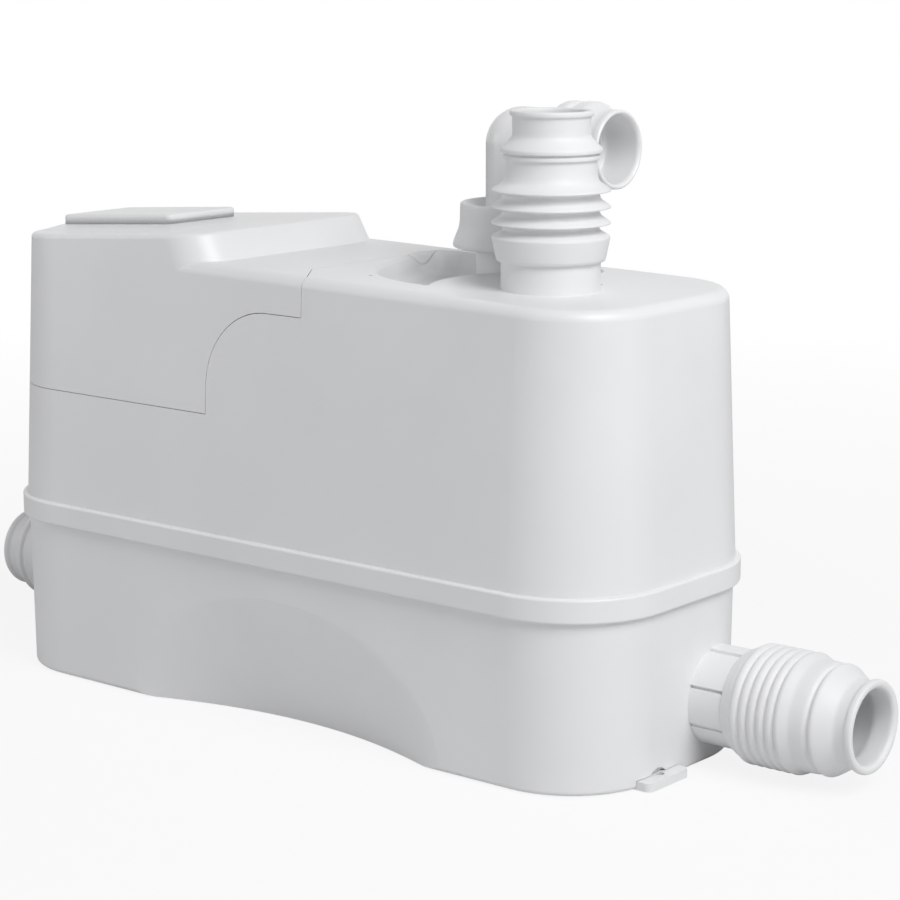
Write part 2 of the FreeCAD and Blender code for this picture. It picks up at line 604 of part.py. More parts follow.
for side, sign in SIDES.items():
    axis = "x" if sign > 0 else "left"
    title = side.capitalize()
    origin = ("0", "inletY", "inletZ")
    outside = [("sleeveStart", "collarRadius + 0.6"), ("sleeveStart + 0.35 * ribLead", "collarRadius + 1.5"),
               ("sleeveStart + 0.72 * ribLead", "bandRadius - ribDepth")]
    for rib in range(RIBS):
        crest = f"sleeveStart + ribLead + {rib} * ribPitch"
        outside += [(f"{crest} - 1.9", "bandRadius - ribDepth"), (f"{crest} - 1.2", "bandRadius - 0.3"),
                    (f"{crest} - 0.4", "bandRadius"), (f"{crest} + 1.6", "bandRadius - 0.1"),
                    (f"{crest} + 2.2", "bandRadius - ribDepth")]
    outside += [(past(0.07), "bandRadius - ribDepth"), (past(0.09), "bandRadius - 0.4"),
                (past(0.115), "bandRadius"), (past(0.14), "bandRadius - 0.1"),
                (past(0.235), "stepRadius + 0.3"), (past(0.27), "stepRadius"),
                (past(0.446), "stepRadius - 0.2"), (past(0.466), "stepRadius - 1.4"),
                (past(0.488), "stepRadius - 1.4"), (past(0.508), "stepRadius - 0.3"),
                (past(0.54), "stepRadius"), (past(0.73), "neckRadius + 0.9"), (past(0.77), "neckRadius"),
                (past(0.89), "neckRadius"), (past(0.91), "ringRadius - 0.4"), (past(0.93), "ringRadius"),
                (past(0.977), "ringRadius"), (past(0.992), "ringRadius - 0.5"),
                (past(1), "ringRadius - 1.2")]
    inside = [("sleeveStart - 1", "collarRadius + runGap"), ("collarEnd + 0.6", "collarRadius + runGap"),
              ("collarEnd + 1.6", "collarRadius - 1.5"), ("sleeveEnd - 32", "collarRadius - 2.6"),
              ("sleeveEnd - 20", "collarRadius - 2.6"), ("sleeveEnd - 15", "sleeveMouth + 0.5"),
              ("sleeveEnd - 14", "sleeveMouth"), ("sleeveEnd - 1.2", "sleeveMouth"),
              ("sleeveEnd + 0.5", "sleeveMouth + 1.8")]
    minus(f"{title}Sleeve", ruled(f"{title}SleeveOutside", outside, origin, axis),
          ruled(f"{title}SleeveBore", inside, origin, axis)).Label = f"{side}_inlet_sleeve"
    # Non-return flap that hangs over the collar's inner end
    face = f"{sign} * (collarInner - {seat})"
    inwardAxis = "left" if sign > 0 else "x"
    disc = rod(f"{title}FlapDisc", "flapRadius", "flapThick", (face, "inletY", "inletZ"), inwardAxis)
    hingeAt = f"{sign} * (collarInner - 4.5)"
    knuckle = rod(f"{title}FlapKnuckle", "3.4", "19.2", (hingeAt, "inletY - 9.6", "inletZ + flapHinge"), "y")
    strapX = f"{sign} * (collarInner - {seat} - flapThick / 2) - flapThick / 2"
    strap = box(f"{title}FlapStrap", (strapX, "inletY - 8", "inletZ + 15"),
                ("flapThick", "16", "flapHinge - 15 - 0.5"))
    pinSpace = rod(f"{title}FlapPinSpace", "pinRadius + runGap", "30",
                   (hingeAt, "inletY - 15", "inletZ + flapHinge"), "y")
    minus(f"{title}Flap", join(f"{title}FlapWhole", disc, knuckle, strap),
          pinSpace).Label = f"{side}_inlet_flap"
    pin = rod(f"{title}FlapPin", "pinRadius", "26", (hingeAt, "inletY - 13", "inletZ + flapHinge"), "y")
    pin.Label = f"{side}_flap_pin"
    # Floor bracket
    lugX = "lugInner" if sign > 0 else "-lugReach"
    lugPlate = box(f"{title}LugPlate", (lugX, "lugY - lugWidth / 2", "0"),
                   ("lugReach - lugInner", "lugWidth", "lugThick"))
    lugRounded = rounded(f"{title}LugRounded", lugPlate, "lugRound", lambda edge:
                         edge.BoundBox.ZLength > 1 and abs(edge.CenterOfMass.x) > cell("lugHoleX"))
    lugHole = rod(f"{title}LugHole", "lugHole", "lugThick + 2", (f"{sign} * lugHoleX", "lugY", "-1"))
    minus(f"{title}Lug", lugRounded, lugHole).Label = f"{side}_floor_bracket"

# Top inlet sleeve: cuff, three thin ribs, body, ring and stepped mouth
topEnd = "(cuffTop + topLength)"


def up(share):
    # Height at a share of the way from the cuff to the sleeve's end
    return f"cuffTop + {share} * topLength"


topOutside = [("cuffStart", "cuffRadius"), ("cuffTop - 1", "cuffRim"), ("cuffTop", "cuffRim - 0.4"),
              ("cuffTop + 0.8", "topValley")]
for crest in (0.106, 0.2385, 0.362):
    topOutside += [(up(crest) + " - 1.3", "topValley"), (up(crest) + " - 0.3", "topRib - 0.2"),
                   (up(crest) + " + 0.4", "topRib"), (up(crest) + " + 3.8", "topValley + 0.6")]
topOutside += [(up(0.449), "topBody"), (up(0.606), "topBody"), (up(0.612), "topBody + 0.8"),
               (up(0.632), "topBody + 0.8"), (up(0.638), "topRing"), (up(0.687), "topRing"),
               (up(0.77), "topNeck + 0.7"), (up(0.79), "topNeck"), (up(0.948), "topNeck"),
               (up(0.957), "topLip - 0.1"), (up(0.99), "topLip"), (topEnd, "topLip - 0.5")]
topInside = [("cuffStart - 1", "topTube + runGap"), ("topTubeEnd + 0.6", "topTube + runGap"),
             ("topTubeEnd + 2", "topTube - 1.6"), (up(0.67), "topTube - 1.8"), (up(0.78), "topMouth"),
             (f"{topEnd} - 0.8", "topMouth"), (f"{topEnd} + 0.4", "topMouth + 1.2")]
minus("TopSleeve", ruled("TopSleeveOutside", topOutside, ("topX", "topY", "0"), "z"),
      ruled("TopSleeveBore", topInside, ("topX", "topY", "0"), "z")).Label = "top_inlet_sleeve"

# Pipe from the top inlet down through the partition plate
dropPipe = join("DropPipeWhole", rod("DropPipeTube", "dropRadius", f"{topDeck - 7} - dropEnd",
                                     ("topX", "topY", "dropEnd")),
                rod("DropPipeFlange", "dropRadius + 5", "3", ("topX", "topY", "deckBottom + deckPlate")))
minus("DropPipe", dropPipe, rod("DropPipeBore", "dropBore", f"{topDeck}", ("topX", "topY", "dropEnd - 1"))
      ).Label = "top_inlet_pipe"

# Discharge: boot, valve seat, flap, elbow, internal pipe and its seal
bootOutside = [("bootStart", "bootFlare - 0.6"), ("bootStart + 1", "bootFlare"),
               ("bootStart + 4", "bootFlare - 0.7"),
               ("bootStart + 8", "bootRadius + 0.9"), ("bootStart + 12", "bootRadius"),
               ("bootTop - 1.2", "bootRadius"), ("bootTop", "bootRadius - 1.2")]
bootInside = [("bootStart - 1", "spigotRadius + runGap"), ("spigotTop + 0.6", "spigotRadius + runGap"),
              ("spigotTop + 1.6", "elbowBore"), ("elbowStart - runGap", "elbowBore"),
              ("elbowStart", "elbowRadius + runGap"), ("bootTop + 1", "elbowRadius + runGap")]
minus("Boot", ruled("BootOutside", bootOutside, ("riserX", "riserY", "0"), "z"),
      ruled("BootBore", bootInside, ("riserX", "riserY", "0"), "z")).Label = "discharge_sleeve"

hingeX = "riserX - valveFlap - 1.6"
hingeZ = "valveHeight + 3 + 2.3"
seatRing = tube("SeatRing", "spigotBore - runGap", "valveBore", "3", ("riserX", "riserY", "valveHeight"))
seatEars = [box(f"SeatEar{index}", (f"{hingeX} - 2", f"riserY + {offset}", "valveHeight + 2.5"),
                ("3.6", "2", "4.2"))
            for index, offset in enumerate((-7.6, 5.6))]
seatPinBore = rod("SeatPinBore", "1", "20", (hingeX, "riserY - 10", hingeZ), "y")
minus("ValveSeat", join("ValveSeatWhole", seatRing, *seatEars), seatPinBore).Label = "discharge_valve_seat"
flapDisc = rod("ValveFlapDisc", "valveFlap", "2", ("riserX", "riserY", f"valveHeight + 3 + {seat}"))
flapKnuckle = rod("ValveFlapKnuckle", "2", "9.4", (hingeX, "riserY - 4.7", hingeZ), "y")
flapArm = box("ValveFlapArm", (hingeX, "riserY - 4", f"valveHeight + 3 + {seat}"), ("6", "8", "2"))
minus("ValveFlap", join("ValveFlapWhole", flapDisc, flapKnuckle, flapArm),
      rod("ValveFlapPinSpace", "1 + runGap", "20", (hingeX, "riserY - 10", hingeZ),
          "y")).Label = "discharge_flap"
rod("ValvePin", "1", "15.2", (hingeX, "riserY - 7.6", hingeZ), "y").Label = "discharge_flap_pin"

armHeight = "(bootTop + armRise)"
elbowOutside = join(
    "ElbowOutside",
    rod("ElbowRiser", "elbowRadius", f"{armHeight} - elbowStart", ("riserX", "riserY", "elbowStart")),
    ball("ElbowCorner", "elbowRadius", ("riserX", "riserY", armHeight)),
    rod("ElbowArm", "elbowRadius - 0.6", "armLength", ("riserX", "riserY", armHeight), "x"),
    ruled("ElbowCollar", [("25", "elbowRadius - 1"), ("27", "armCollar - 1.2"), ("29", "armCollar"),
                          ("33", "armCollar"), ("34.5", "armCollar - 1.6"), ("36", "armCollar - 1.6"),
                          ("37.5", "armCollar"), ("43", "armCollar"), ("50", "elbowRadius + 0.6"),
                          ("armLength - 2", "elbowRadius + 0.6"), ("armLength - 1.2", "elbowRadius + 0.2"),
                          ("armLength", "elbowRadius - 0.2")], ("riserX", "riserY", armHeight), "x"))
elbowInside = join(
    "ElbowInside",
    rod("ElbowRiserBore", "elbowBore", f"{armHeight} - elbowStart + 1",
        ("riserX", "riserY", "elbowStart - 1")),
    ball("ElbowCornerBore", "elbowBore", ("riserX", "riserY", armHeight)),
    ruled("ElbowArmBore", [("0", "elbowBore"), ("armLength - socketDepth - 4", "elbowBore - 2"),
                           ("armLength - socketDepth", "elbowBore - 2")],
          ("riserX", "riserY", armHeight), "x"),
    ruled("ElbowSocket", [("armLength - socketDepth - 0.01", "socketRadius"),
                          ("armLength - 1", "socketRadius"), ("armLength + 0.5", "socketRadius + 1.2")],
          ("riserX", "riserY", armHeight), "x"))
minus("Elbow", elbowOutside, elbowInside).Label = "discharge_elbow"

pipeStartX = "motorX + 62"
pipeEndX = "riserX - pipeBend"


def dischargePipe(name, radius, overshoot):
    level = rod(f"{name}Level", radius, f"{pipeEndX} - ({pipeStartX}) + {overshoot}",
                (f"{pipeStartX} - {overshoot}", "riserY", "outletZ"), "x")
    bend = doc.addObject("Part::Torus", f"{name}Bend")
    bind(bend, Radius1="pipeBend", Radius2=radius)
    bend.Angle3 = 90
    place(bend, (pipeEndX, "riserY", "outletZ + pipeBend"))
    bend.Placement = FreeCAD.Placement(bend.Placement.Base, FreeCAD.Rotation(FreeCAD.Vector(1, 0, 0), -90))
    rise = rod(f"{name}Rise", radius, f"pipeTop - outletZ - pipeBend + {overshoot}",
               ("riserX", "riserY", "outletZ + pipeBend"))
    return join(f"{name}Whole", level, bend, rise)


minus("DischargePipe", dischargePipe("PipeOutside", "pipeRadius", 0),
      dischargePipe("PipeInside", "pipeBore", 1)).Label = "discharge_pipe"
tube("DischargeSeal", "pipeRadius + 3", "pipeRadius", "8",
     ("riserX", "riserY", "pipeTop - 10")).Label = "discharge_seal"

# Pump: casing with its outlet, suction plate, impeller
pumpAt = ("motorX", "motorY")
casing = join("CasingWhole",
              rod("CasingDrum", "pumpRadius", "pumpTop - pumpBottom - suctionPlate",
                  (*pumpAt, "pumpBottom + suctionPlate")),
              rod("CasingOutlet", "pipeRadius + 3", f"{pipeStartX} - motorX + 12",
                  ("motorX", "riserY", "outletZ"), "x"))
minus("PumpCasing", casing,
      rod("CasingCavity", "pumpCavity", "pumpTop - pumpRoof - pumpBottom - suctionPlate + 1",
          (*pumpAt, "pumpBottom + suctionPlate - 1")),
      rod("CasingSealSeat", "sealRadius", "60", (*pumpAt, "pumpBottom")),
      rod("CasingOutletBore", "pipeBore", "200", ("motorX", "riserY", "outletZ"), "x"),
      rod("CasingSocket", "pipeRadius + fitGap / 3", "60", (f"{pipeStartX} - 0.2", "riserY", "outletZ"), "x")
      ).Label = "pump_casing"
FEET = [(-27, -27), (27, -27), (-27, 27), (27, 27)]
feet = [box(f"SuctionFoot{index}", (f"motorX + {dx} - 6", f"motorY + {dy} - 6", "floorPlate + 3"),
            ("12", "12", "pumpBottom - floorPlate - 3 + 0.5"))
        for index, (dx, dy) in enumerate(FEET)]
suctionDisc = rod("SuctionDisc", "pumpRadius", "suctionPlate", (*pumpAt, "pumpBottom"))
minus("SuctionPlate", join("SuctionWhole", suctionDisc, *feet),
      rod("SuctionEye", "eyeRadius", "40", (*pumpAt, "0"))).Label = "suction_plate"
rubberFeet = [rod(f"RubberFoot{index}", "7", "3", (f"motorX + {dx}", f"motorY + {dy}", "floorPlate"))
              for index, (dx, dy) in enumerate(FEET)]
join("PumpFeet", *rubberFeet).Label = "pump_feet"

VANES = 6
impellerShape = Part.makeCylinder(cell("impellerRadius"), 4, vector(0, 0, 38)).fuse(
    Part.makeCylinder(9, 20, vector(0, 0, 22)))
for index in range(VANES):
    vane = Part.makeBox(cell("impellerRadius") - 8, 3, 12.5, vector(7, -1.5, 26))
    vane.rotate(vector(14, 0, 0), vector(0, 0, 1), -24)
    vane.rotate(vector(0, 0, 0), vector(0, 0, 1), index * 360 / VANES)
    impellerShape = impellerShape.fuse(vane)
impellerShape = impellerShape.common(Part.makeCylinder(cell("impellerRadius"), 60)).cut(
    Part.makeCylinder(cell("shaftRadius"), 60))
impeller = feature("Impeller", impellerShape.removeSplitter())
impeller.Placement = FreeCAD.Placement(vector(cell("motorX"), cell("motorY"), 0), FreeCAD.Rotation())
impeller.Label = "impeller"

# Motor: casing, cap, core, windings, rotor, shaft, bearings and seal
plateTop = "deckBottom + deckPlate"
can = join("CanWhole", rod("CanOutside", "canRadius", "canTop - pumpTop", (*pumpAt, "pumpTop")),
           rod("CanFlange", "flangeRadius", "flangeThick", (*pumpAt, plateTop)))
canSpace = join("CanSpace", rod("CanInside", "canRadius - canWall", "canTop - pumpTop",
                                (*pumpAt, "pumpTop + 16")),
                rod("CanBearingSeat", "bearingRadius", "20", (*pumpAt, "pumpTop + 6")),
                rod("CanShaftHole", "shaftRadius + 1", "20", (*pumpAt, "pumpTop - 1")))
SCREWS = [(math.cos(math.radians(a)), math.sin(math.radians(a))) for a in (45, 135, 225, 315)]
screwRing = "canRadius + 7"
flangeHoles = [rod(f"FlangeHole{index}", "screwRadius + 0.1", "20",
                   (f"motorX + ({screwRing}) * {c:.4f}", f"motorY + ({screwRing}) * {s:.4f}",
                    f"{plateTop} - 1"))
               for index, (c, s) in enumerate(SCREWS)]
minus("MotorCan", can, canSpace, *flangeHoles).Label = "motor_casing"
capWhole = join("MotorCapWhole", rod("CapDisc", "canRadius", "5", (*pumpAt, "canTop")),
                rod("CapBoss", "bearingRadius + 4", "canTop - 168", (*pumpAt, "168")),
                rod("CapSpigot", "canRadius - canWall - runGap", "6", (*pumpAt, "canTop - 6")))
capSeat = rod("CapBearingSeat", "bearingRadius", "bearingWidth + 3", (*pumpAt, "167"))
minus("MotorCap", capWhole, capSeat).Label = "motor_cap"
tube("Stator", "canRadius - canWall", "statorBore", "coreHeight",
     (*pumpAt, "coreBottom")).Label = "stator_core"
windings = [tube(f"Winding{end}", "canRadius - canWall - 6", "statorBore + 3", "10", (*pumpAt, level))
            for end, level in (("Low", "coreBottom - 10"), ("High", "coreBottom + coreHeight"))]
join("Windings", *windings).Label = "motor_windings"
tube("RotorCore", "statorBore - rotorGap", "shaftRadius", "coreHeight - 4",
     (*pumpAt, "coreBottom + 2")).Label = "rotor_core"
rod("Shaft", "shaftRadius", "150", (*pumpAt, "24")).Label = "motor_shaft"
tube("LowBearing", "bearingRadius", "shaftRadius + runGap", "bearingWidth",
     (*pumpAt, "pumpTop + 6")).Label = "lower_bearing"
tube("HighBearing", "bearingRadius", "shaftRadius + runGap", "bearingWidth",
     (*pumpAt, "170")).Label = "upper_bearing"
tube("ShaftSeal", "sealRadius", "shaftRadius + runGap", "pumpRoof",
     (*pumpAt, "pumpTop - pumpRoof")).Label = "shaft_seal"

# Partition plate on the tank's bosses, with its screws
plateInset = lipInset + cell("lipWall") + cell("plateGap") + 1
plateBlank = feature("PlateBlank", shell(cell("deckBottom"), cell("deckBottom") + cell("deckPlate"),
                                         inset(plateInset), inset(plateInset)))
plateFront = feature("PlateFront", coveCutter(wall + cell("plateGap") + 1))
plateHoles = [rod(f"PlateScrewHole{index}", "screwRadius + 0.1", "20", (bx, by, "deckBottom - 5"))
              for index, (bx, by) in enumerate(BOSSES)]
plateHoles += [rod(f"PlateMotorHole{index}", "screwRadius - 0.3", "20",
                   (f"motorX + ({screwRing}) * {c:.4f}", f"motorY + ({screwRing}) * {s:.4f}",
                    "deckBottom - 5"))
               for index, (c, s) in enumerate(SCREWS)]
minus("PumpDeck", plateBlank, plateFront,
      rod("PlateCanHole", "canRadius + fitGap", "20", (*pumpAt, "deckBottom - 5")),
      rod("PlatePipeHole", "pipeRadius + fitGap", "20", ("riserX", "riserY", "deckBottom - 5")),
      rod("PlateDropHole", "dropRadius + fitGap", "20", ("topX", "topY", "deckBottom - 5")),
      rod("PlateTubeHole", "tubeRadius + fitGap", "20", ("switchX", "switchY", "deckBottom - 5")),
      *plateHoles).Label = "pump_deck"


def screw(name, x, y, seatZ, length):
    # Pan-head screw that stands on a seat and points down
    head = taper(f"{name}Head", "screwHead", "screwHead - 1", "2.2", (x, y, seatZ))
    shank = rod(f"{name}Shank", "screwRadius - 0.3", length, (x, y, f"{seatZ} - {length}"))
    cross = box(f"{name}Slot", (f"{x} - screwHead", f"{y} - 0.4", f"{seatZ} + 1.3"),
                ("2 * screwHead", "0.8", "2"))
    return minus(name, join(f"{name}Whole", head, shank), cross)


join("DeckScrews", *[screw(f"DeckScrew{index}", f"{bx}", f"{by}", plateTop, "14")
                     for index, (bx, by) in enumerate(BOSSES)]).Label = "deck_screws"
join("MotorScrews", *[screw(f"MotorScrew{index}", f"motorX + ({screwRing}) * {c:.4f}",
                            f"motorY + ({screwRing}) * {s:.4f}",
                            f"{plateTop} + flangeThick", "8.5") for index, (c, s) in enumerate(SCREWS)]
     ).Label = "motor_screws"

# Level switch: dip tube, housing, diaphragm, cap, plunger, microswitch and lever
switchAt = ("switchX", "switchY")
dipWhole = join("DipWhole", rod("DipOutside", "tubeRadius", f"{plateTop} + 2 - tubeEnd",
                                (*switchAt, "tubeEnd")),
                rod("DipFlange", "cupRadius", "2", (*switchAt, plateTop)))
minus("DipTube", dipWhole, rod("DipBore", "tubeBore", "100", (*switchAt, "tubeEnd - 1"))).Label = "dip_tube"
cupBase = f"{plateTop} + 2"
minus("SwitchHousing", rod("CupOutside", "cupRadius", "cupHeight", (*switchAt, cupBase)),
      rod("CupChamber", "chamber", "cupHeight", (*switchAt, f"{cupBase} + 4")),
      rod("CupBore", "10", "20", (*switchAt, f"{cupBase} - 1"))).Label = "switch_housing"
rod("Diaphragm", "cupRadius - 0.5", "1.2", (*switchAt, f"{cupBase} + cupHeight")).Label = "switch_diaphragm"
coverBase = f"{cupBase} + cupHeight + 1.2"
minus("SwitchCap", rod("SwitchCapOutside", "cupRadius", "capHeight", (*switchAt, coverBase)),
      rod("SwitchCapChamber", "chamber", "capHeight - 3", (*switchAt, f"{coverBase} - 0.01")),
      rod("SwitchCapHole", "plungerRadius + runGap", "20", (*switchAt, coverBase))).Label = "switch_cap"
join("Plunger", rod("PlungerStem", "plungerRadius", "capHeight + 3", (*switchAt, f"{coverBase} + 0.1")),
     rod("PlungerHead", "10", "1.6", (*switchAt, f"{coverBase} + 0.1"))).Label = "switch_plunger"
capTop = f"{coverBase} + capHeight"
leverZ = f"{capTop} + 3.1 + 0.3"
pivotX = "switchX + leverArm"
microEars = [box(f"MicroEar{index}", (f"{pivotX} - 2", f"switchY + {offset}", f"{capTop} + 1"),
                 ("4", "1.5", "6.5"))
             for index, offset in enumerate((-5.5, 4))]
microWhole = join("MicroWhole", box("MicroBase", (f"{pivotX} - 8", "switchY - 5.5", capTop),
                                    ("16", "11", "1.8")),
                  box("MicroBody", (f"{pivotX} + 3", "switchY - 5.5", capTop), ("5", "11", "14")), *microEars)
pivotZ = f"{leverZ} + 1.2"
minus("Microswitch", microWhole, rod("MicroPivotBore", "0.8", "30", (pivotX, "switchY - 15", pivotZ), "y")
      ).Label = "microswitch"
leverWhole = join("LeverWhole", box("LeverBlade", ("switchX - 5", "switchY - 3", leverZ),
                                    ("leverArm + 5", "6", "0.9")),
                  rod("LeverHub", "1.7", "7.4", (pivotX, "switchY - 3.7", pivotZ), "y"))
minus("Lever", leverWhole, rod("LeverPinSpace", "0.8 + runGap", "30", (pivotX, "switchY - 15", pivotZ), "y")
      ).Label = "switch_lever"
rod("LeverPin", "0.8", "11", (pivotX, "switchY - 5.5", pivotZ), "y").Label = "lever_pin"

# Electrics on the partition plate, and the gland in the back wall
trayLow = ("trayX - trayLength / 2", "trayY - trayDepth / 2", plateTop)
join("Tray", box("TrayPlate", trayLow, ("trayLength", "trayDepth", "trayThick")),
     tube("TrayCup", "canisterRadius + 3", "canisterRadius + 0.2", "12",
          ("trayX - 14", "trayY", f"{plateTop} + trayThick - 0.5"))).Label = "electrics_tray"
join("Capacitor", rod("CapacitorCan", "canisterRadius", "canisterHeight",
                      ("trayX - 14", "trayY", f"{plateTop} + trayThick")),
     rod("CapacitorCap", "canisterRadius - 2", "3",
         ("trayX - 14", "trayY", f"{plateTop} + trayThick + canisterHeight")),
     box("CapacitorTabFront", ("trayX - 17", "trayY - 7", f"{plateTop} + trayThick + canisterHeight + 2"),
         ("6", "1", "8")),
     box("CapacitorTabBack", ("trayX - 17", "trayY + 6", f"{plateTop} + trayThick + canisterHeight + 2"),
         ("6", "1", "8"))
     ).Label = "capacitor"
blockLow = ("trayX + 12", "trayY - 18", f"{plateTop} + trayThick")
blockHoles = [rod(f"TerminalHole{index}", "2", "8",
                  ("trayX + 20", f"trayY - 12 + {index} * 8", f"{plateTop} + trayThick + 10"))
              for index in range(4)]
minus("TerminalBlock", box("TerminalBody", blockLow, ("16", "36", "16")),
      *blockHoles).Label = "terminal_block"

glandY = f"{glandBack}"
glandWhole = join("GlandWhole", rod("GlandThread", "glandRadius", "14",
                                    ("glandX", f"{glandY} - 8", "glandZ"), "y"),
                  rod("GlandFlange", "glandRadius + 4", "3", ("glandX", f"{glandY} + 0.5", "glandZ"), "y"),
                  taper("GlandNose", "glandRadius + 2.4", "glandRadius - 0.6", "9",
                        ("glandX", f"{glandY} + 3", "glandZ"), "y"))
minus("CableGland", glandWhole, rod("GlandBore", "3.6", "60", ("glandX", f"{glandY} - 20", "glandZ"), "y")
      ).Label = "cable_gland"
nutBlank = doc.addObject("Part::Prism", "GlandNutBlank")
nutBlank.Polygon = 6
bind(nutBlank, Circumradius="glandRadius + 4.5", Height="4")
place(nutBlank, ("glandX", f"{glandY} - wall - 0.7 - 4", "glandZ"), "y")
nutBore = rod("GlandNutBore", "glandRadius", "30", ("glandX", f"{glandY} - 20", "glandZ"), "y")
minus("GlandNut", nutBlank, nutBore).Label = "gland_nut"

tank.Label = "tank"
gasket.Label = "rim_gasket"
lid.Label = "lid"
serviceCover.Label = "service_cover"
ventCap.Label = "vent_cap"
charcoalFilter.Label = "charcoal_filter"

NODES = [
    "tank", "lid", "service_cover", "rim_gasket", "vent_cap", "charcoal_filter", "left_inlet_sleeve",
    "right_inlet_sleeve", "top_inlet_sleeve", "left_inlet_flap", "right_inlet_flap", "left_flap_pin",
    "right_flap_pin", "left_floor_bracket", "right_floor_bracket", "top_inlet_pipe", "discharge_sleeve",
    "discharge_valve_seat", "discharge_flap", "discharge_flap_pin", "discharge_elbow", "discharge_pipe",
    "discharge_seal", "pump_casing", "suction_plate", "pump_feet", "impeller", "motor_casing", "motor_cap",
    "stator_core", "motor_windings", "rotor_core", "motor_shaft", "lower_bearing", "upper_bearing",
    "shaft_seal", "pump_deck", "deck_screws", "motor_screws", "dip_tube", "switch_housing",
    "switch_diaphragm", "switch_cap", "switch_plunger", "microswitch", "switch_lever", "lever_pin",
    "electrics_tray", "capacitor", "terminal_block", "cable_gland", "gland_nut",
]

doc.recompute()
failed = [item.Name for item in doc.Objects if "Invalid" in item.State or "Error" in item.State]
if failed:
    raise RuntimeError(f"objects failed: {failed}")

os.makedirs("parts", exist_ok=True)
for node in NODES:
    item = doc.getObjectsByLabel(node)[0]
    shape = item.Shape
    if shape.isNull() or not shape.isValid() or not shape.Solids:
        raise RuntimeError(f"{node} has no valid solid")
    shape.exportStep(f"parts/{node}.step")
    bounds = shape.BoundBox
    print(f"{node}: {len(shape.Solids)} solid, {shape.Volume / 1000:.1f} cm3,"
          f" x {bounds.XMin:.1f} {bounds.XMax:.1f}, y {bounds.YMin:.1f} {bounds.YMax:.1f},"
          f" z {bounds.ZMin:.1f} {bounds.ZMax:.1f}")
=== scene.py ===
import bpy
import bmesh
import json
import math
from mathutils import Matrix, Vector


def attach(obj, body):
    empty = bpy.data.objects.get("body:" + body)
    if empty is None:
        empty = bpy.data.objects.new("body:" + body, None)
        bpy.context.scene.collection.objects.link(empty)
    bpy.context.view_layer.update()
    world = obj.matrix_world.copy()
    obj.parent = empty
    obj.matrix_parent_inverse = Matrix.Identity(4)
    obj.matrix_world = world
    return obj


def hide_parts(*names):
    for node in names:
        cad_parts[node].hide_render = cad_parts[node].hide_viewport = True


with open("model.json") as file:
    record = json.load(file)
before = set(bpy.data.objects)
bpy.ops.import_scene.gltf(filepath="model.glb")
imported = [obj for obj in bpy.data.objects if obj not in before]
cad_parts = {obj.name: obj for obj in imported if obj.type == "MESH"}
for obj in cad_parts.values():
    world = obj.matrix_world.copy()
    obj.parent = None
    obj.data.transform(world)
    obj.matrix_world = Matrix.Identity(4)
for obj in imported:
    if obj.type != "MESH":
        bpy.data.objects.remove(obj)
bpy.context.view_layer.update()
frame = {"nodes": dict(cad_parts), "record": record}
nodes = frame["nodes"]
mm = 0.001
weld = 1e-6  # metres: points closer than this become one
print("frame loaded")


# colours and materials

def colour(hexValue, alpha=1.0):
    # sRGB hex to the linear values that the shader takes
    parts = [int(hexValue[i:i + 2], 16) / 255 for i in (0, 2, 4)]
    linear = [p / 12.92 if p <= 0.04045 else ((p + 0.055) / 1.055) ** 2.4 for p in parts]
    return (*linear, alpha)


def addNode(tree, kind, settings=None, links=None):
    node = tree.nodes.new(kind)
    for key, value in (settings or {}).items():
        if isinstance(key, int) or key in node.inputs:
            node.inputs[key].default_value = value
        else:
            setattr(node, key, value)
    for key, source in (links or {}).items():
        tree.links.new(source, node.inputs[key])
    return node


def newMaterial(name):
    material = bpy.data.materials.new(name)
    material.use_nodes = True
    material.node_tree.nodes.clear()
    return material


# what all surfaces share; low and high are the noise values between which tone and gloss change
texture = {"cloudDetail": 3.0, "cloudRoughness": 0.5, "grainDetail": 2.0, "grainRoughness": 0.6,
           "grainHeight": 0.3, "low": 0.3, "high": 0.7}


def surface(name, look):
    # one moulded, rubber or metal surface: two close tones in soft clouds, a fine grain, and its own gloss
    material = newMaterial(name)
    tree = material.node_tree
    place = addNode(tree, "ShaderNodeTexCoord")
    clouds = addNode(tree, "ShaderNodeTexNoise",
                     {"Scale": 1 / (look["cloudMm"] * mm), "Detail": texture["cloudDetail"],
                      "Roughness": texture["cloudRoughness"]},
                     {"Vector": place.outputs["Object"]})
    stretch = addNode(tree, "ShaderNodeMapping", {"Scale": look.get("stretch", (1, 1, 1))},
                      {"Vector": place.outputs["Object"]})
    grain = addNode(tree, "ShaderNodeTexNoise",
                    {"Scale": 1 / (look["grainMm"] * mm), "Detail": texture["grainDetail"],
                     "Roughness": texture["grainRoughness"]},
                    {"Vector": stretch.outputs["Vector"]})
    tone = addNode(tree, "ShaderNodeValToRGB", {}, {"Fac": clouds.outputs["Fac"]})
    for stop, level, shade in zip(tone.color_ramp.elements, ("low", "high"), ("dark", "light")):
        stop.position = texture[level]
        stop.color = colour(look[shade])
    gloss = addNode(tree, "ShaderNodeMapRange",
                    {"From Min": texture["low"], "From Max": texture["high"], "To Min": look["gloss"][0],
                     "To Max": look["gloss"][1]},
                    {"Value": grain.outputs["Fac"]})
    bump = addNode(tree, "ShaderNodeBump",
                   {"Strength": look["bump"], "Distance": look["grainMm"] * mm * texture["grainHeight"]},
                   {"Height": grain.outputs["Fac"]})
    shader = addNode(tree, "ShaderNodeBsdfPrincipled",
                     {"IOR": look.get("ior", 1.5), "Metallic": look.get("metal", 0.0),
                      "Sheen Weight": look.get("sheen", 0.0)},
                     {"Base Color": tone.outputs["Color"], "Roughness": gloss.outputs["Result"],
                      "Normal": bump.outputs["Normal"]})
    addNode(tree, "ShaderNodeOutputMaterial", {}, {"Surface": shader.outputs["BSDF"]})
    return material


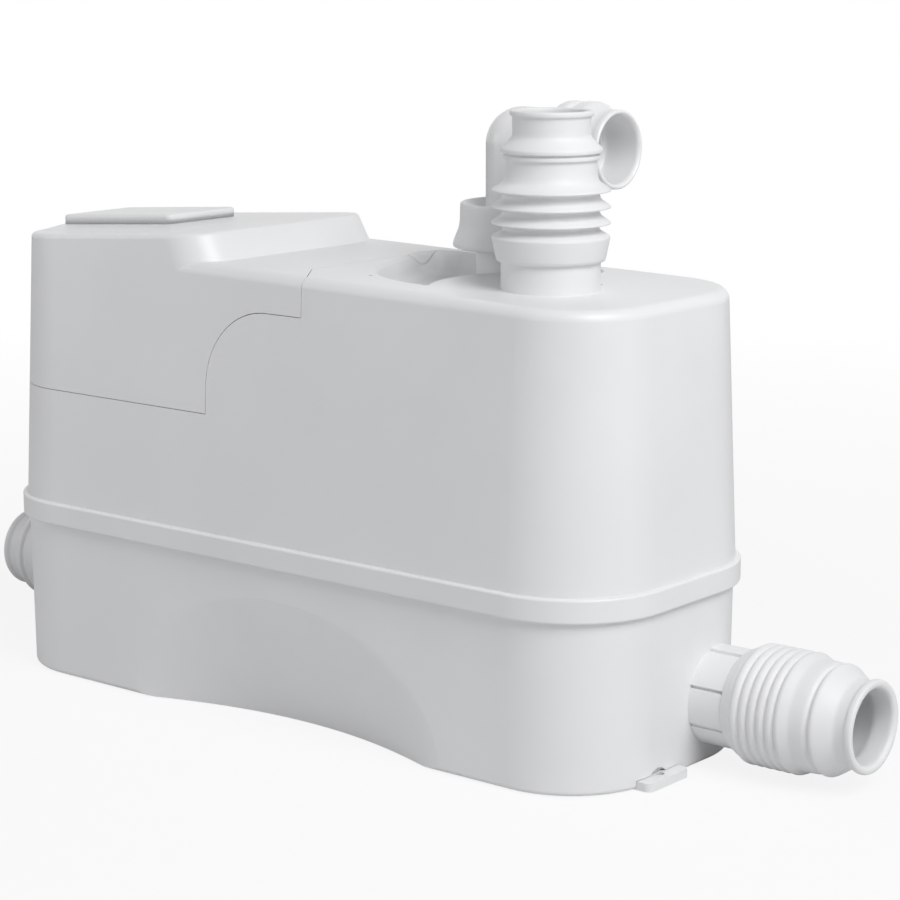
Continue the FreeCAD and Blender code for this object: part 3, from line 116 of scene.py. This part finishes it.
looks = {
    # injection moulded ABS, spark-eroded mould: even white with a satin gloss and a grain of about 0.6 mm
    "mouldedAbs": {"dark": "E6E7E8", "light": "EBECED", "cloudMm": 90, "grainMm": 0.6,
                   "gloss": (0.34, 0.42), "bump": 0.12, "ior": 1.53},
    # white EPDM rubber: as white as the plastic, but matt with a soft sheen
    "whiteRubber": {"dark": "E6E7E8", "light": "ECEDEE", "cloudMm": 40, "grainMm": 0.5,
                    "gloss": (0.46, 0.56), "bump": 0.16, "ior": 1.52, "sheen": 0.05},
    # polished mould PVC: the smoothest and glossiest white
    "smoothPvc": {"dark": "E8E9EA", "light": "EDEEEF", "cloudMm": 50, "grainMm": 0.8,
                  "gloss": (0.22, 0.28), "bump": 0.05, "ior": 1.54},
    # black EPDM: matt
    "blackRubber": {"dark": "151515", "light": "1E1E1F", "cloudMm": 15, "grainMm": 0.4,
                    "gloss": (0.55, 0.7), "bump": 0.25, "ior": 1.52},
    # grey polypropylene of the inner pieces
    "greyPolypropylene": {"dark": "8E9092", "light": "9A9C9E", "cloudMm": 30, "grainMm": 0.5,
                          "gloss": (0.42, 0.52), "bump": 0.15, "ior": 1.49},
    # open foam loaded with charcoal
    "charcoalFoam": {"dark": "0E0E0E", "light": "242424", "cloudMm": 3, "grainMm": 1.6,
                     "gloss": (0.85, 0.95), "bump": 0.9, "ior": 1.45},
    # turned stainless steel: fine streaks round the shaft
    "turnedSteel": {"dark": "A9AAAB", "light": "C2C3C4", "cloudMm": 8, "grainMm": 0.35,
                    "gloss": (0.22, 0.34), "bump": 0.1, "metal": 1.0, "stretch": (1, 1, 6)},
    # deep drawn aluminium of the motor and the capacitor
    "drawnAluminium": {"dark": "A6A8AA", "light": "BABCBE", "cloudMm": 25, "grainMm": 0.5,
                       "gloss": (0.32, 0.45), "bump": 0.15, "metal": 1.0, "stretch": (6, 6, 1)},
    # stacked electrical steel, sheets of 0.5 mm drawn at 1 mm so that they show
    "sheetStack": {"dark": "3C3D40", "light": "5A5B5F", "cloudMm": 12, "grainMm": 1.0,
                   "gloss": (0.4, 0.55), "bump": 0.5, "metal": 0.9, "stretch": (0.04, 0.04, 1)},
    # enamelled copper wire, 0.8 mm
    "copperWire": {"dark": "8A4A24", "light": "B86A38", "cloudMm": 6, "grainMm": 0.8,
                   "gloss": (0.25, 0.4), "bump": 0.7, "metal": 1.0, "stretch": (0.1, 0.1, 1)},
}
finish = {name: surface(name, look) for name, look in looks.items()}

slotFinish = {"housing": "mouldedAbs", "rubber": "whiteRubber", "elbow": "smoothPvc", "seal": "blackRubber",
              "inner_plastic": "greyPolypropylene", "filter": "charcoalFoam", "steel": "turnedSteel",
              "motor": "drawnAluminium", "core": "sheetStack", "copper": "copperWire"}
for entry in frame["record"]["subparts"]:
    node = nodes[entry["node"]]
    node.data.materials.clear()
    node.data.materials.append(finish[slotFinish[entry["material_slot"]]])
print("materials ready")


# turned pieces: a half profile, spun round its axis

axes = {"up": Matrix.Identity(4), "right": Matrix.Rotation(math.radians(90), 4, "Y"),
        "left": Matrix.Rotation(math.radians(-90), 4, "Y")}


def turnedMesh(profile, at, axis, steps):
    # profile points are (distance along the axis, radius) in mm, outside first and back along the bore
    mesh = bmesh.new()
    points = [mesh.verts.new((radius * mm, 0, distance * mm)) for distance, radius in profile]
    for first, second in zip(points, points[1:] + points[:1]):
        mesh.edges.new((first, second))
    bmesh.ops.spin(mesh, geom=mesh.verts[:] + mesh.edges[:], cent=(0, 0, 0), axis=(0, 0, 1),
                   angle=math.tau, steps=steps, use_merge=True, use_duplicate=False)
    bmesh.ops.remove_doubles(mesh, verts=mesh.verts[:], dist=weld)
    bmesh.ops.dissolve_degenerate(mesh, edges=mesh.edges[:], dist=weld / 10)
    bmesh.ops.recalc_face_normals(mesh, faces=mesh.faces[:])
    bmesh.ops.transform(mesh, matrix=Matrix.Translation(Vector(at) * mm) @ axes[axis], verts=mesh.verts[:])
    return mesh


def newPiece(name, mesh, material):
    for face in mesh.faces:
        face.smooth = True
    data = bpy.data.meshes.new(name)
    mesh.to_mesh(data)
    mesh.free()
    piece = bpy.data.objects.new(name, data)
    bpy.context.scene.collection.objects.link(piece)
    data.materials.append(material)
    return piece


def hold(points, width=0.2, most=0.4):
    # two close points at each corner that stays crisp under subdivision
    result = []
    for index, (distance, radius, *crisp) in enumerate(points):
        if not crisp:
            result.append((distance, radius))
            continue
        for other in (points[index - 1], points[(index + 1) % len(points)]):
            length = math.hypot(other[0] - distance, other[1] - radius)
            share = min(most, width / length)
            result.append((distance + (other[0] - distance) * share, radius + (other[1] - radius) * share))
    return result


def rubberPiece(name, profile, at, axis, steps, cadNode):
    # a spun rubber piece with soft edges, in place of the CAD's own
    piece = newPiece(name, turnedMesh(hold(profile), at, axis, steps), finish["whiteRubber"])
    smooth = piece.modifiers.new("Smooth", "SUBSURF")
    smooth.levels = 1
    smooth.render_levels = 1
    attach(piece, "housing")
    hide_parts(cadNode)


# side inlet sleeves: a flare, five thin ribs, a shoulder that falls to a smooth band, a second step and a
# mouth ring; bandFrom, bandTo, notchAt, stepAt and coneEnd are measured from the shoulder, ringLength,
# boreLength and gripEnd from the mouth, and the other places from the middle of the part

sideSleeve = {"y": 28.0, "z": 31.5, "start": 214.0, "end": 281.5, "collar": 23.8, "flare": 3.4,
              "firstRib": 223.0, "ribPitch": 4.75, "ribs": 5, "crest": 28.7, "groove": 27.2,
              "bandFrom": 4.4, "bandTo": 12.6, "band": 26.2, "notchAt": 13.8, "notch": 24.8,
              "stepAt": 16.0, "step": 26.3, "coneEnd": 24.6, "neck": 20.7, "ring": 22.0, "ringLength": 3.6,
              "bore": 17.6, "boreLength": 10.5, "hollow": 3.4, "gripEnd": 48.7, "steps": 112}


def sideSleeveProfile(s):
    start, end, collar, groove, crest = s["start"], s["end"], s["collar"], s["groove"], s["crest"]
    band, notch, step, neck, ring, bore = s["band"], s["notch"], s["step"], s["neck"], s["ring"], s["bore"]
    profile = [(start, collar + 0.5, "crisp"), (start + 1.2, collar + 1.0), (start + 3.4, collar + 2.0),
               (start + 5.6, collar + s["flare"])]
    for rib in range(s["ribs"]):
        peak = s["firstRib"] + rib * s["ribPitch"]
        profile += [(peak - 1.9, groove), (peak - 1.3, crest - 0.5), (peak - 0.5, crest - 0.05),
                    (peak + 0.5, crest), (peak + 1.5, crest - 0.2), (peak + 2.1, groove + 0.3)]
    shoulder = s["firstRib"] + s["ribs"] * s["ribPitch"]
    bandFrom, bandTo = shoulder + s["bandFrom"], shoulder + s["bandTo"]
    notchAt, stepAt, coneEnd = shoulder + s["notchAt"], shoulder + s["stepAt"], shoulder + s["coneEnd"]
    profile += [(shoulder - 1.9, groove), (shoulder - 1.3, crest - 0.5), (shoulder - 0.5, crest - 0.05),
                (shoulder + 0.4, crest), (shoulder + 1.1, crest - 0.25)]
    # smooth band
    profile += [(bandFrom, band + 0.55), (bandFrom + 0.8, band + 0.25), (bandFrom + 2.0, band + 0.1),
                (bandFrom + 5.6, band), (bandTo, band - 0.2)]
    # groove and second step
    profile += [(notchAt - 0.5, notch + 0.4), (notchAt, notch), (notchAt + 0.7, notch),
                (notchAt + 1.1, notch + 0.4), (stepAt - 0.6, step - 0.35), (stepAt, step),
                (stepAt + 0.9, step), (stepAt + 1.6, step - 0.35)]
    # cone down to the neck
    profile += [(coneEnd - 1.0, neck + 1.4), (coneEnd, neck + 0.6), (coneEnd + 1.0, neck + 0.15),
                (coneEnd + 2.2, neck)]
    # mouth ring
    ringFrom = end - s["ringLength"]
    profile += [(ringFrom - 0.8, neck, "crisp"), (ringFrom, ring - 0.5), (ringFrom + 0.7, ring - 0.05),
                (end - 1.2, ring), (end - 0.4, ring - 0.35), (end, ring - 1.1), (end, bore + 2.0),
                (end - 0.5, bore + 0.9), (end - 1.6, bore + 0.2), (end - 3, bore)]
    # back along the bore, wider behind the mouth, to the tank's collar
    inward, wide = end - s["boreLength"], bore + s["hollow"]
    profile += [(inward, bore), (inward - 1.5, bore + 0.5), (inward - 6.5, wide), (inward - 21.5, wide),
                (end - s["gripEnd"] + 0.8, wide + 1.0), (end - s["gripEnd"], collar, "crisp"),
                (start, collar, "crisp")]
    return profile


for side in ("right", "left"):
    rubberPiece(f"{side}SleeveRubber", sideSleeveProfile(sideSleeve), (0, sideSleeve["y"], sideSleeve["z"]),
                side, sideSleeve["steps"], f"{side}_inlet_sleeve")
print("side sleeves ready")


# top inlet sleeve: conical cuff, three thin ribs, a straight body, a double ring and a lip

topSleeve = {"x": 129.0, "y": -15.0, "cuff": 235.4, "cuffTop": 246.8, "cuffRadius": 25.2, "cuffRim": 27.3,
             "ribTips": (253.1, 260.4, 268.0), "rib": 27.7, "valley": 22.2, "body": 20.9,
             "lowRing": 22.4, "lowRingAt": 282.1, "ring": 23.5, "ringAt": 285.1, "ringWidth": 1.9,
             "ringGroove": 0.9, "neck": 18.0, "lip": 19.3, "end": 304.2, "bore": 15.6, "tube": 20.5,
             "tubeEnd": 262.5, "steps": 96}


def topSleeveProfile(s):
    cuff, rim, valley, rib, tube = s["cuffTop"], s["cuffRim"], s["valley"], s["rib"], s["tube"]
    body, low, lowAt, ring, ringAt = s["body"], s["lowRing"], s["lowRingAt"], s["ring"], s["ringAt"]
    neck, lip, end, bore = s["neck"], s["lip"], s["end"], s["bore"]
    profile = [(s["cuff"], s["cuffRadius"] - 0.4), (s["cuff"] + 0.4, s["cuffRadius"]),
               (cuff - 1.2, rim - 0.15), (cuff - 0.2, rim), (cuff + 0.3, rim - 0.3), (cuff + 1.4, rim - 2.2),
               (cuff + 2.6, valley + 0.6), (cuff + 3.2, valley)]
    for tip in s["ribTips"]:
        profile += [(tip - 1.5, valley), (tip - 1.15, valley + 0.4), (tip - 0.65, rib - 0.6),
                    (tip - 0.1, rib), (tip + 0.45, rib - 0.4), (tip + 2.6, valley + 1.8),
                    (tip + 3.7, valley + 0.3)]
    # straight body and double ring
    lowTop, ringTop, between = lowAt + s["ringWidth"], ringAt + s["ringWidth"], low - s["ringGroove"]
    profile += [(tip + 5.5, body + 0.2), (lowAt - 0.2, body, "crisp"), (lowAt, low, "crisp"),
                (lowTop, low, "crisp"), (lowTop + 0.2, between, "crisp"), (ringAt - 0.2, between, "crisp"),
                (ringAt, ring, "crisp"), (ringTop, ring, "crisp"), (ringTop + 2.3, ring - 2.6),
                (ringTop + 4.3, neck + 0.9), (ringTop + 5.5, neck + 0.1), (ringTop + 6.7, neck)]
    # lip, and back along the bore
    profile += [(end - 2.9, neck, "crisp"), (end - 2.5, lip - 0.15), (end - 2.0, lip), (end - 0.5, lip),
                (end, lip - 0.5), (end, bore + 1.2), (end - 0.4, bore + 0.3), (end - 1.2, bore),
                (end - 12.6, bore), (end - 19.5, tube - 1.9)]
    profile += [(s["tubeEnd"] + 0.3, tube - 1.6), (s["tubeEnd"], tube, "crisp"), (s["cuff"], tube, "crisp")]
    return profile


rubberPiece("topSleeveRubber", topSleeveProfile(topSleeve), (topSleeve["x"], topSleeve["y"], 0), "up",
            topSleeve["steps"], "top_inlet_sleeve")
print("top sleeve ready")


# rubber boot round the discharge: flared foot, straight wall and a dished top that grips the bend

boot = {"x": 74.0, "y": 35.0, "foot": 233.0, "top": 255.0, "flare": 34.0, "radius": 30.5, "spigot": 22.55,
        "spigotDepth": 7.6, "shelf": 247.95, "throat": 14.5, "grip": 18.06, "dish": 5.0, "steps": 96}


def bootProfile(b):
    foot, top, flare, radius = b["foot"], b["top"], b["flare"], b["radius"]
    grip, throat, shelf, spigot = b["grip"], b["throat"], b["shelf"], b["spigot"]
    low, inside = top - b["dish"], foot + b["spigotDepth"]
    return [(foot, flare - 1), (foot + 0.4, flare - 0.2), (foot + 1.6, flare), (foot + 3, flare - 0.3),
            (foot + 6, flare - 1.5), (foot + 9, radius + 0.7), (foot + 11.6, radius), (top - 1.4, radius),
            (top - 0.4, radius - 0.3), (top, radius - 1.1), (top - 0.3, radius - 2.1),
            (top - 1.8, radius - 3.6), (top - 4, radius - 6.4), (low, grip + 2.4), (low + 0.1, grip + 0.7),
            (low - 0.2, grip), (shelf, grip, "crisp"), (shelf, throat, "crisp"),
            (inside + 1, throat, "crisp"), (inside, spigot, "crisp"), (foot, spigot, "crisp")]


rubberPiece("dischargeBoot", bootProfile(boot), (boot["x"], boot["y"], 0), "up",
            boot["steps"], "discharge_sleeve")
print("boot ready")


# discharge elbow: riser, round corner and ringed arm joined to one skin, then hollowed

elbow = {"x": 74.0, "y": 35.0, "foot": 248.0, "axis": 283.0, "radius": 18.0, "bore": 14.5, "arm": 57.5,
         "ringFrom": 26.0, "ringTo": 43.0, "ring": 22.0, "grooveFrom": 34.0, "grooveTo": 36.2,
         "grooveDepth": 1.8, "coneEnd": 49.8, "lipLength": 4.0, "lip": 0.8, "socket": 16.2,
         "socketDepth": 20.0, "throat": 2.0, "steps": 96, "rings": 48, "voxelMm": 0.6, "softenTimes": 4}


def solidTurned(name, profile, at, axis):
    return newPiece(name, turnedMesh(profile, at, axis, elbow["steps"]), finish["smoothPvc"])


def solidBall(name, radius, at):
    mesh = bmesh.new()
    bmesh.ops.create_uvsphere(mesh, u_segments=elbow["steps"], v_segments=elbow["rings"], radius=radius * mm,
                              matrix=Matrix.Translation(Vector(at) * mm))
    return newPiece(name, mesh, finish["smoothPvc"])


def settle(piece):
    # the piece's modifiers made permanent
    shape = bpy.data.meshes.new_from_object(piece.evaluated_get(bpy.context.evaluated_depsgraph_get()))
    piece.modifiers.clear()
    piece.data = shape


def combine(piece, tool, operation):
    change = piece.modifiers.new("Combine", "BOOLEAN")
    change.object = tool
    change.operation = operation
    change.solver = "EXACT"
    settle(piece)
    bpy.data.objects.remove(tool)


def armOutline(e):
    radius, arm, ring = e["radius"], e["arm"], e["ring"]
    ringFrom, ringTo, coneEnd = e["ringFrom"], e["ringTo"], e["coneEnd"]
    grooveFrom, grooveTo, groove = e["grooveFrom"], e["grooveTo"], ring - e["grooveDepth"]
    lipFrom, lip = arm - e["lipLength"], radius + e["lip"]
    return [(0, 0), (0, radius - 0.1), (ringFrom - 5, radius - 0.4), (ringFrom - 2.5, radius),
            (ringFrom, ring - 1.4), (ringFrom + 2, ring - 0.3), (ringFrom + 4, ring),
            (grooveFrom - 1.4, ring), (grooveFrom - 0.6, ring - 0.5), (grooveFrom, groove),
            (grooveTo, groove), (grooveTo + 0.8, ring - 0.5), (grooveTo + 1.6, ring), (ringTo, ring),
            (ringTo + 1.6, ring - 0.5),
            (coneEnd, radius + 0.7), (coneEnd + 1.7, radius + 0.4), (lipFrom, radius + 0.4),
            (lipFrom + 0.8, lip), (arm - 0.8, lip), (arm, radius), (arm, 0)]


def elbowPiece(e):
    corner = (e["x"], e["y"], e["axis"])
    radius, bore, arm, socket = e["radius"], e["bore"], e["arm"], e["socket"]
    rise = e["axis"] - e["foot"]
    depth = arm - e["socketDepth"]
    past = 2  # mm that the hollow goes through the foot
    outside = solidTurned("elbow", [(-rise, 0), (-rise, radius), (0, radius), (0, 0)], corner, "up")
    combine(outside, solidTurned("arm", armOutline(e), corner, "right"), "UNION")
    combine(outside, solidBall("corner", radius, corner), "UNION")
    inside = solidTurned("hollow", [(-rise - past, 0), (-rise - past, bore), (0, bore), (0, 0)],
                         corner, "up")
    throat = bore - e["throat"]
    armHollow = [(0, 0), (0, bore), (depth - 4, throat), (depth, throat), (depth, socket),
                 (arm - 1.6, socket), (arm + 1, socket + 1.6), (arm + 1, 0)]
    combine(inside, solidTurned("armHollow", armHollow, corner, "right"), "UNION")
    combine(inside, solidBall("cornerHollow", bore, corner), "UNION")
    combine(outside, inside, "DIFFERENCE")
    skin = outside.modifiers.new("Skin", "REMESH")
    skin.mode = "VOXEL"
    skin.voxel_size = e["voxelMm"] * mm
    skin.use_smooth_shade = True
    soften = outside.modifiers.new("Soften", "SMOOTH")
    soften.factor = 0.5
    soften.iterations = e["softenTimes"]
    settle(outside)
    return outside


bend = elbowPiece(elbow)
bend.name = "dischargeBend"
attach(bend, "elbow")
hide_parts("discharge_elbow")
print("elbow ready", len(bend.data.polygons))


# vent cap: a plate with rounded corners and a soft upper edge, and the plug below it, on a roof with a slope

ventCap = {"left": -175.5, "front": -37.0, "length": 79.5, "depth": 49.0, "thick": 5.0, "lift": 2.42,
           "corner": 3.6, "edge": 1.5, "plugInset": 9.4, "plugDepth": 3.0, "plugCorner": 1.0,
           "plugEdge": 0.2, "overlap": 0.5, "slope": 4.0, "blockEdge": -50.0, "blockHeight": 238.9}


def roundedPlate(low, high, corner, edge):
    # box with rounded upright corners and a rounded upper edge
    mesh = bmesh.new()
    size = Vector(high) - Vector(low)
    middle = (Vector(high) + Vector(low)) / 2
    bmesh.ops.create_cube(mesh, size=1,
                          matrix=Matrix.Translation(middle * mm) @ Matrix.Diagonal((*(size * mm), 1)))
    uprights = [side for side in mesh.edges
                if abs(side.verts[0].co.z - side.verts[1].co.z) > size.z * mm / 2]
    bmesh.ops.bevel(mesh, geom=uprights, offset=corner * mm, segments=6, affect="EDGES", profile=0.5,
                    material=-1)
    topLoop = [side for side in mesh.edges if min(end.co.z for end in side.verts) > middle.z * mm
               and len(side.link_faces) == 2
               and abs(side.link_faces[0].normal.z - side.link_faces[1].normal.z) > 0.5]
    bmesh.ops.bevel(mesh, geom=topLoop, offset=edge * mm, segments=5, affect="EDGES", profile=0.5,
                    material=-1)
    return mesh


def ventCapMesh(v):
    left, front, lift, inset = v["left"], v["front"], v["lift"], v["plugInset"]
    right, back = left + v["length"], front + v["depth"]
    mesh = roundedPlate((left, front, lift), (right, back, lift + v["thick"]), v["corner"], v["edge"])
    plug = roundedPlate((left + inset, front + inset, lift - v["plugDepth"]),
                        (right - inset, back - inset, lift + v["overlap"]), v["plugCorner"], v["plugEdge"])
    shape = bpy.data.meshes.new("plug")
    plug.to_mesh(shape)
    plug.free()
    mesh.from_mesh(shape)
    bpy.data.meshes.remove(shape)
    rise = math.tan(math.radians(v["slope"]))
    base = v["blockHeight"] - v["blockEdge"] * rise
    slant = Matrix(((1, 0, 0, 0), (0, 1, 0, 0), (rise, 0, 1, base * mm), (0, 0, 0, 1)))
    bmesh.ops.transform(mesh, matrix=slant, verts=mesh.verts[:])
    return mesh


cap = newPiece("ventCapPlate", ventCapMesh(ventCap), finish["mouldedAbs"])
weighted = cap.modifiers.new("Shading", "WEIGHTED_NORMAL")
weighted.keep_sharp = True
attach(cap, "vent")
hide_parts("vent_cap")
print("vent cap ready")


# camera, from the outlines in the photograph: places in mm

camera = {"at": (849.1, -969.8, 385.6), "towards": (57.0, 0.0, 135.2), "lens": 104.62, "sensor": 36,
          "near": 0.05, "far": 20}


def setUp(thing, at, towards):
    # a camera or a lamp at its place, turned towards a point
    thing.location = at
    thing.rotation_euler = (towards - at).to_track_quat("-Z", "Y").to_euler()
    bpy.context.scene.collection.objects.link(thing)


lens = bpy.data.cameras.new("photoCamera")
lens.lens = camera["lens"]
lens.sensor_width = camera["sensor"]
lens.clip_start = camera["near"]
lens.clip_end = camera["far"]
eye = bpy.data.objects.new("photoCamera", lens)
setUp(eye, Vector(camera["at"]) * mm, Vector(camera["towards"]) * mm)
bpy.context.scene.camera = eye


# studio: pale floor, white surround and two soft lamps, places in metres

lampsTowards = Vector((0, 0, 0.12))
lamps = {
    "keyRight": {"at": (1.4, -0.42, 1.45), "size": 1.2, "power": 24},
    "fillLeft": {"at": (-0.7, -0.5, 0.4), "size": 0.5, "power": 0.9},
}
for name, lamp in lamps.items():
    light = bpy.data.lights.new(name, "AREA")
    light.shape = "DISK"
    light.size = lamp["size"]
    light.energy = lamp["power"]
    setUp(bpy.data.objects.new(name, light), Vector(lamp["at"]), lampsTowards)

surround = {"soft": 0.34, "white": 1.0}  # light on the object, and what the eye and the gloss see


def surroundWorld(s):
    world = bpy.data.worlds.new("surround")
    world.use_nodes = True
    tree = world.node_tree
    tree.nodes.clear()
    ray = addNode(tree, "ShaderNodeLightPath")
    through = addNode(tree, "ShaderNodeMath", {"operation": "MAXIMUM"},
                      {0: ray.outputs["Is Camera Ray"], 1: ray.outputs["Is Transmission Ray"]})
    seen = addNode(tree, "ShaderNodeMath", {"operation": "MAXIMUM"},
                   {0: through.outputs[0], 1: ray.outputs["Is Glossy Ray"]})
    soft = addNode(tree, "ShaderNodeBackground", {"Color": (1, 1, 1, 1), "Strength": s["soft"]})
    white = addNode(tree, "ShaderNodeBackground", {"Color": (1, 1, 1, 1), "Strength": s["white"]})
    both = addNode(tree, "ShaderNodeMixShader", {},
                   {0: seen.outputs[0], 1: soft.outputs[0], 2: white.outputs[0]})
    addNode(tree, "ShaderNodeOutputWorld", {}, {"Surface": both.outputs[0]})
    return world


bpy.context.scene.world = surroundWorld(surround)

# the paper shows the object's shadow near it, and fades to the white of the surround further out
paper = {"half": 6, "drop": 0.0005, "tone": "E4E4E4", "fadeFrom": 0.3, "fadeTo": 1.3, "near": 0.86,
         "far": 1.0}


def paperMaterial(p):
    material = newMaterial("whitePaper")
    tree = material.node_tree
    ray = addNode(tree, "ShaderNodeLightPath")
    place = addNode(tree, "ShaderNodeTexCoord")
    reach = addNode(tree, "ShaderNodeVectorMath", {"operation": "LENGTH"}, {0: place.outputs["Object"]})
    fade = addNode(tree, "ShaderNodeMapRange",
                   {"From Min": p["fadeFrom"], "From Max": p["fadeTo"], "To Min": p["near"],
                    "To Max": p["far"]},
                   {"Value": reach.outputs["Value"]})
    matt = addNode(tree, "ShaderNodeBsdfDiffuse", {"Color": colour(p["tone"])})
    glow = addNode(tree, "ShaderNodeEmission", {"Color": (1, 1, 1, 1), "Strength": 1.0})
    share = addNode(tree, "ShaderNodeMath", {"operation": "MULTIPLY"},
                    {0: ray.outputs["Is Camera Ray"], 1: fade.outputs["Result"]})
    both = addNode(tree, "ShaderNodeMixShader", {},
                   {0: share.outputs[0], 1: matt.outputs[0], 2: glow.outputs[0]})
    addNode(tree, "ShaderNodeOutputMaterial", {}, {"Surface": both.outputs[0]})
    return material


floorMesh = bmesh.new()
bmesh.ops.create_grid(floorMesh, x_segments=2, y_segments=2, size=paper["half"])
bmesh.ops.translate(floorMesh, vec=(0, 0, -paper["drop"]), verts=floorMesh.verts[:])
floorData = bpy.data.meshes.new("studioFloor")
floorMesh.to_mesh(floorData)
floorMesh.free()
floorData.materials.append(paperMaterial(paper))
floor = bpy.data.objects.new("studioFloor", floorData)
bpy.context.scene.collection.objects.link(floor)

bpy.context.scene.view_settings.view_transform = "Standard"
print("studio ready")
